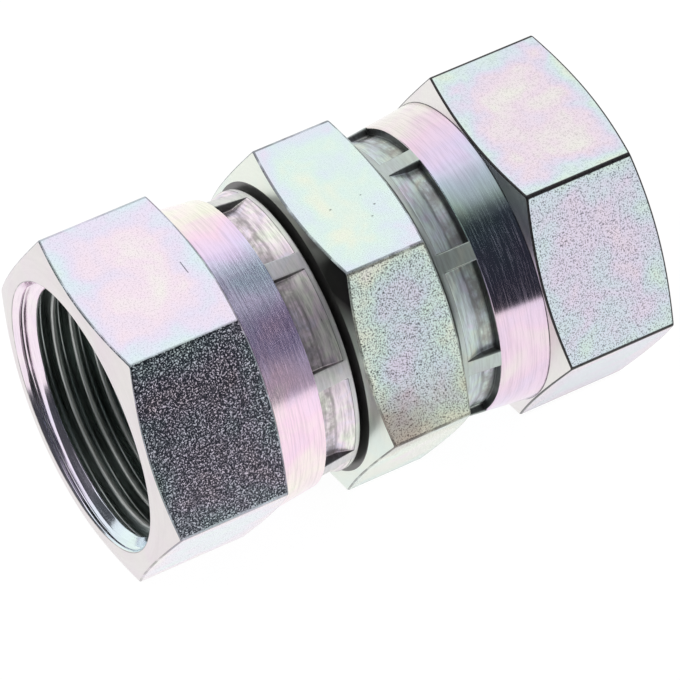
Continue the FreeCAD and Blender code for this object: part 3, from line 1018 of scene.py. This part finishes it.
def nut_outline():
    """The nut's section: along the outside from the open face to the rim, and back through the bore."""
    foot_reach = COLLAR_RADIUS - COLLAR_FALL * (NUT_HEX_LENGTH + CHAMFER_RADIUS * CHAMFER_RISE - COLLAR_START)
    foot_radius = foot_reach / (1 - CHAMFER_RISE * COLLAR_FALL)
    foot = (NUT_HEX_LENGTH - (foot_radius - CHAMFER_RADIUS) * CHAMFER_RISE, foot_radius)
    thread_spacing = THREAD_PITCH / ROWS_PER_PITCH
    mouth = (0.0, MOUTH_RADIUS)
    mouth_end = (MOUTH_DEPTH, THREAD_RADIUS)
    thread_end = (THREAD_END, THREAD_RADIUS)
    mark_start = (MARK_START - STEP_BEFORE, collar_radius(MARK_START - STEP_BEFORE))
    step_end = (MARK_START + STEP_AFTER, collar_radius(MARK_START + STEP_AFTER))
    rim = (RIM_DEPTH, collar_radius(RIM_DEPTH))
    rim_lip = (RIM_DEPTH + RIM_LIP, collar_radius(RIM_DEPTH + RIM_LIP))
    inner_rim = (NUT_LENGTH, CHAMBER_RADIUS)
    inner_mark = (MARK_START, CHAMBER_RADIUS)
    before_mark = (MARK_START - LIP_BEFORE, CHAMBER_RADIUS)
    chamber = (THREAD_END, CHAMBER_RADIUS)
    return rounded_outline([
        (Row(*mouth, FACED, edge=0.6), 0.1),
        (Row(0, CHAMFER_RADIUS, FACED), 0.3),
        hexagon_edge(0, 1),
        hexagon_edge(NUT_HEX_LENGTH, -1),
        (Row(*foot, edge=1), 0.1),
        *even_rows(foot, mark_start, COLLAR_SPACING),
        (Row(*mark_start), 0),
        *even_rows(mark_start, step_end, STEP_SPACING),
        (Row(*step_end), 0),
        *even_rows(step_end, rim, MARK_SPACING),
        (Row(*rim), 0),
        (Row(*rim_lip), 0),
        (Row(NUT_LENGTH, collar_radius(NUT_LENGTH), INNER, edge=0.5), 0.15),
        (Row(*inner_rim, INNER), 0.15),
        *even_rows(inner_rim, inner_mark, LIP_SPACING, finish=INNER),
        (Row(*inner_mark, INNER), 0),
        (Row(*before_mark, INNER), 0),
        *even_rows(before_mark, chamber, CHAMBER_SPACING, finish=INNER),
        (Row(*chamber, INNER), 0),
        (Row(*thread_end, bore=1), 0),
        *even_rows(thread_end, mouth_end, thread_spacing, bore=1),
        (Row(*mouth_end, MOUTH, bore=1), 0),
        *even_rows(mouth_end, mouth, thread_spacing, finish=MOUTH, bore=1)[:-1],
    ])


SCORE_MARK = (0.2, 0.19, 0.2, 1)
HAMMER_GREY = (0.27, 0.25, 0.24, 1)
CREASE_SHADE = (0.1, 0.09, 0.1, 1)
STEP_SHADE = (0.02, 0.02, 0.025, 1)
GROOVE_DIRT = (0.03, 0.035, 0.03, 1)
GROOVE_DEPTH = 0.00004


def pressed_steel(name, base, land_color, seed, film_shift, frost):
    """The crimped ring: hammered grey by the press up to a crease in each mark, then scored to the rim. Each
    mark's step, crease and walls are darkened as painted shade.
    """
    material, tree = start_material(name)
    place = node(tree, "ShaderNodeTexCoord").outputs["Object"]
    film = use_group(tree, film_tree, {
        "Vector": place, "Patch Size": 0.003, "Seed": seed, "Shift": film_shift, "Spread": 1.4,
        "Base": (*base, 1), "Depth": 0.9,
    })
    blotch = noise(tree, place, 500.0, 4.0, 0.65)
    lines = use_group(tree, line_tree, {"Vector": place, "Line Width": 0.0003, "Line Length": 0.003})
    line = Term(tree, lines["Height"])
    along_mark = painted(tree, "mark_depth")
    land = painted(tree, "land")
    scored = mix_colors(tree, line.ramp(0.6, 0.35) * 0.5, film["Color"], SCORE_MARK)
    near_step = along_mark.ramp(CREASE_PLACE + 0.03, CREASE_PLACE - 0.03)
    hammered = mix_colors(tree, near_step * blotch.ramp(0.6, 0.4) * 0.7, scored, HAMMER_GREY)
    # A dark line painted along the crease: painted shade.
    crease = (along_mark - CREASE_PLACE).math("ABSOLUTE").ramp(0.07, 0.02) * blotch.ramp(0.35, 0.55)
    creased = mix_colors(tree, crease * 0.5, hammered, CREASE_SHADE)
    stepped = mix_colors(tree, along_mark.ramp(0.12, 0.05) * 0.85, creased, STEP_SHADE)
    plain = mix_colors(tree, 0.6, scored, (*land_color, 1))
    landed = mix_colors(tree, land.ramp(0.5, 0.9), stepped, plain)
    # The marks' walls are painted dark: painted shade.
    wall = (land * 2 - 1).math("ABSOLUTE").ramp(0.98, 0.7)
    color = mix_colors(tree, wall * 0.8, landed, EDGE_AND_WALL_SHADE)
    relief = line + blotch * 0.5
    bumped = node(tree, "ShaderNodeBump", {"Strength": 0.4, "Distance": GRAIN_DEPTH, "Height": relief})
    end_material(tree, color, line * 0.2 + 0.22, bumped.outputs[0], frost)
    return material


def threaded_bore(name, groove, crest_highlight):
    """The thread: dull and darker in its grooves as painted shade, and lighter on its crests as a painted
    highlight.
    """
    material, tree = start_material(name)
    place = node(tree, "ShaderNodeTexCoord").outputs["Object"]
    lines = use_group(tree, line_tree, {"Vector": place, "Line Width": 0.0002, "Line Length": 0.01})
    height = Term(tree, lines["Height"])
    on_crest = painted(tree, "crest").ramp(0.8, 0.97)
    # Painted shade in the grooves and a painted highlight on the crests.
    shaded_and_lit = mix_colors(tree, on_crest, (*groove, 1), (*crest_highlight, 1))
    color = mix_colors(tree, height.ramp(0.6, 0.4) * 0.5, shaded_and_lit, GROOVE_DIRT)
    bumped = node(tree, "ShaderNodeBump", {"Strength": 0.3, "Distance": GROOVE_DEPTH, "Height": height})
    end_material(tree, color, height * 0.15 + 0.22, bumped.outputs[0], on_crest * 0.4)
    return material


SIDE_SHARES = (-1.1, -0.5, -0.2, 0.2, 0.5, 1.1)


def make_nut(side, place, first_mark, seed, flats, finishes, marks):
    """A union nut with its flats, thread and crimp marks."""
    mark_sides = []
    for number in range(MARK_COUNT):
        for way in (-1, 1):
            edge = first_mark + number * 360 / MARK_COUNT + way * MARK_ANGLE / 2
            mark_sides += [edge + share * MARK_SIDE for share in SIDE_SHARES]
    mesh = turned_shell(side, nut_outline(), column_angles(mark_sides), finishes)
    nut = shape_with(f"{side}_nut", mesh, [
        (hexagon_tree, {**hexagon_sizes, "Finish": flats}),
        (thread_tree, {
            "Crest Radius": THREAD_RADIUS,
            "Pitch": THREAD_PITCH,
            "Depth": THREAD_DEPTH,
            "Rounding": THREAD_ROUNDING,
            "Mouth Depth": MOUTH_DEPTH,
            "End": THREAD_END,
            "Finish": thread_finish,
        }),
        (crimp_tree, {
            "Mark Count": float(MARK_COUNT),
            "Mark Angle": MARK_ANGLE,
            "Side Angle": MARK_SIDE,
            "First Mark": first_mark,
            "Mark Start": MARK_START,
            "Level Length": MARK_LEVEL,
            "Rim Depth": RIM_DEPTH,
            "Floor Radius": MARK_FLOOR,
            "Rim Floor": collar_radius(RIM_DEPTH) - MARK_RUNOUT,
            "Wall Middle": LIP_ROOT,
            "Lip Radius": LIP_RADIUS,
            "Lip Slope": (LIP_ROOT - LIP_RADIUS) / MARK_LEVEL,
            "Unevenness": MARK_UNEVENNESS,
            "Seed": seed,
            "Finish": marks,
        }),
    ], place)
    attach(nut, f"{side}_nut")
    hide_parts(f"{side}_swivel_nut")


# The front upper flat's lower lightness is partly its own tone and partly painted shade for the dark it
# reflects.
LEFT_FILMS = [
    (0.3, 0.3, 0.9, 0.3),
    (0.5, -0.3, 0.97, 0.25),
    (0.5, -0.2, 0.8, 0.4),
    (0.1, 0.4, 0.9, 0.2),
    (0.6, 0.3, 0.9, 0.3),
    (0.8, 0.3, 0.9, 0.3),
]
# The right nut is turned round: its flats start with the front's upper one and go over the top.
RIGHT_FILMS = [
    (0.6, -0.27, 1.0, 0.38),
    (0.68, -0.5, 0.97, 0.25),
    (0.3, 0.4, 0.9, 0.3),
    (0.6, 0.3, 0.9, 0.3),
    (0.8, 0.3, 0.9, 0.3),
    (0.1, 0.4, 0.9, 0.2),
]
left_low, left_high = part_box("left_swivel_nut")
right_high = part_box("right_swivel_nut")[1]
HALF_HEX = NUT_HEX_LENGTH / 2 * MM
SCRATCH_START = (-0.02025, 0.00005, left_high.z)
SCRATCH_END = (-0.02022, -0.0018, left_high.z)
SCRATCH_WIDTH = 0.00009
thread_finish = threaded_bore("threaded_bore", groove=(0.52, 0.57, 0.55), crest_highlight=(0.7, 0.72, 0.7))
mouth_steel = turned_steel(
    "mouth_steel", base=(0.95, 0.96, 0.96), seed=8.1, bands=(0, 0.4, 15, -15), film_depth=1.0,
    roughness=0.15, streaks=0.2, frost=0, arc_reach=0.6,
)
left_flats = drawn_flats(
    "left_nut_flats", left_low.x + HALF_HEX, HALF_HEX, seed=4.2, spread=0.7, films=LEFT_FILMS,
    grain_size=0.00019, frost_from=0.6, roughness=0.12, bump=0.3, arc_reach=0.6, corner_reach=0.35,
    marks=[(SCRATCH_START, SCRATCH_END, SCRATCH_WIDTH, MARK_STRENGTH, SPECK)],
)
left_turned = turned_steel(
    "left_nut_turned", base=(1.0, 0.99, 0.98), seed=2.2, bands=(-0.0045, 0.52, 44, 31), film_depth=1.7,
    roughness=0.15, streaks=0.3, frost=0.05, arc_reach=0.6,
)
left_faced = turned_steel(
    "left_nut_faced", base=(0.82, 0.79, 0.8), seed=3.3, bands=PLAIN, film_depth=0.4,
    roughness=0.3, streaks=0.1, frost=0, arc_reach=0.5,
)
left_marks = pressed_steel(
    "left_nut_marks", base=(1.0, 1.0, 1.0), land_color=(0.6, 0.64, 0.6), seed=4.4, film_shift=0.1, frost=0.25,
)
right_flats = drawn_flats(
    "right_nut_flats", right_high.x - HALF_HEX, HALF_HEX, seed=7.4, spread=0.9, films=RIGHT_FILMS,
    grain_size=0.00017, frost_from=0.36, roughness=0.2, bump=0.35, arc_reach=1.0, corner_reach=1.0,
)
right_turned = turned_steel(
    "right_nut_turned", base=(0.89, 0.88, 0.89), seed=6.2, bands=(-0.0075, 0.62, 37, 45), film_depth=1.5,
    roughness=0.13, streaks=0.3, frost=0, arc_reach=0.9,
)
right_faced = turned_steel(
    "right_nut_faced", base=(0.86, 0.85, 0.84), seed=6.4, bands=PLAIN, film_depth=0.4,
    roughness=0.3, streaks=0.1, frost=0, arc_reach=0.9,
)
right_marks = pressed_steel(
    "right_nut_marks", base=(0.78, 0.79, 0.78), land_color=(0.5, 0.55, 0.51), seed=8.8, film_shift=0.6,
    frost=0.3,
)

left_place = Matrix.Translation((left_low.x, 0, axis_height))
right_place = Matrix.Translation((right_high.x, 0, axis_height)) @ Matrix.Rotation(math.pi, 4, "Z")
make_nut(
    "left", left_place, first_mark=38.4, seed=11, flats=left_flats,
    finishes=[left_turned, left_faced, shaded_inner_steel, mouth_steel], marks=left_marks,
)
make_nut(
    "right", right_place, first_mark=29.3, seed=12, flats=right_flats,
    finishes=[right_turned, right_faced, shaded_inner_steel, mouth_steel], marks=right_marks,
)
